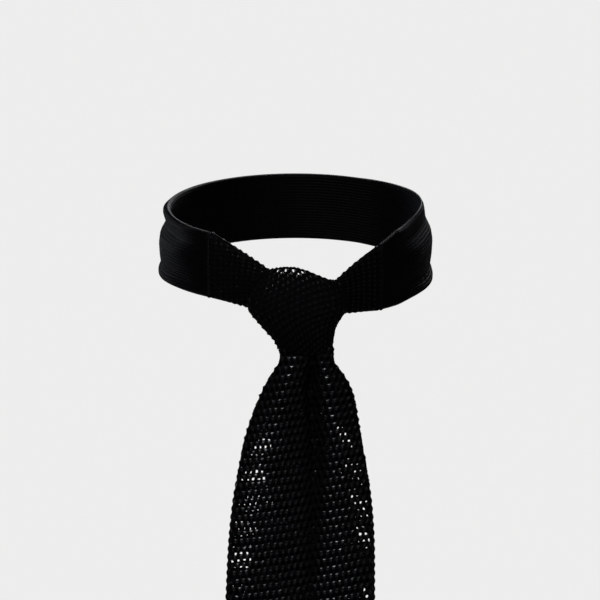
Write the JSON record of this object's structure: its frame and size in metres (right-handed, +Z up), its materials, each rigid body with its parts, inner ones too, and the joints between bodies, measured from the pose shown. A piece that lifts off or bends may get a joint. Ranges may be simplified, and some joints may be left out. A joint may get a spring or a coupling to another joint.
{
  "type": "knitted necktie",
  "caption": "Black knitted necktie with a square end, tied in a four-in-hand knot round a neck, with a fine neckband, an open-knit front blade and a tail behind it.",
  "frame": {"origin": "on the neck's axis, half way up the neckband at the wearer's sides", "axes": "+Z up along the neck, -Y the way the wearer faces, +X at the right of someone who faces the wearer"},
  "size_m": [0.12, 0.138, 0.538],
  "materials": {
    "fine_knit": "fine black jersey knit, wales along the band, soft grey-blue sheen at grazing angles",
    "open_knit": "coarse open black silk knit, small bright glints on the stitches",
    "thread": "black sewing thread, slight sheen",
    "stay_tape": "woven black stay tape, matt",
    "satin": "plain black satin ribbon with no print"
  },
  "bodies": {
    "neckband": {"neckband": "fine_knit", "stay_tape": "stay_tape", "front_join_seam": "thread", "tail_join_seam": "thread", "front_lead": "open_knit", "tail_upper": "open_knit"},
    "knot": {"knot_back_wrap": "open_knit", "knot_front_wrap": "open_knit", "knot_riser": "open_knit", "knot_inner_pass": "open_knit"},
    "blade_upper": {"front_blade_upper": "open_knit"},
    "blade_lower": {"front_blade_lower": "open_knit", "front_hem": "open_knit", "front_hem_tacks": "thread", "keeper_loop": "satin", "keeper_tacks": "thread", "care_label": "satin", "label_stitches": "thread"},
    "tail_lower": {"tail_lower": "open_knit", "tail_hem": "open_knit", "tail_hem_tacks": "thread"}
  },
  "joints": [
    {"name": "knot_slide", "type": "slide", "parent": "neckband", "child": "knot", "axis": [0, 0, -1], "range_m": [0, 0.06]},
    {"name": "blade_swing", "type": "hinge", "parent": "knot", "child": "blade_upper", "pos_m": [0.0022, -0.0715, -0.049], "axis": [-1, 0, 0], "range_deg": [0, 95]},
    {"name": "blade_fold", "type": "hinge", "parent": "blade_upper", "child": "blade_lower", "pos_m": [0.0022, -0.0715, -0.27], "axis": [-1, 0, 0], "range_deg": [0, 90]},
    {"name": "tail_swing", "type": "hinge", "parent": "neckband", "child": "tail_lower", "pos_m": [0.0048, -0.0645, -0.128], "axis": [0, 1, 0], "range_deg": [-15, 15]}
  ]
}
